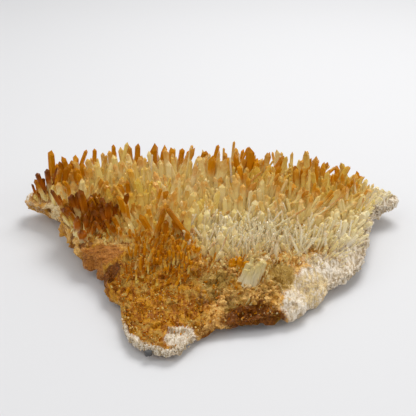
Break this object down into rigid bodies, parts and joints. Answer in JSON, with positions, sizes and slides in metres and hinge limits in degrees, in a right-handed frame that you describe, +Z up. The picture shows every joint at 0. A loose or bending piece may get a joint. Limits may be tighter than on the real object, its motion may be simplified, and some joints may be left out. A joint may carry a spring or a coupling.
{
  "type": "quartz crystal cluster",
  "caption": "Flat, roughly triangular plate of iron-stained quartz matrix carrying a dense field of slender hexagonal quartz crystals, for display on a shelf or table.",
  "frame": {"origin": "middle of the bounding box seen from above, at the height of the flat spot that the plate rests on", "axes": "+Z up, +X along the long side from the left tip to the right tip, -Y towards the front tip"},
  "size_m": [0.2435, 0.1888, 0.048],
  "materials": {
    "stained_quartz": "gloss"
  },
  "bodies": {
    "root": {"quartz_cluster": "stained_quartz"}
  },
  "joints": []
}
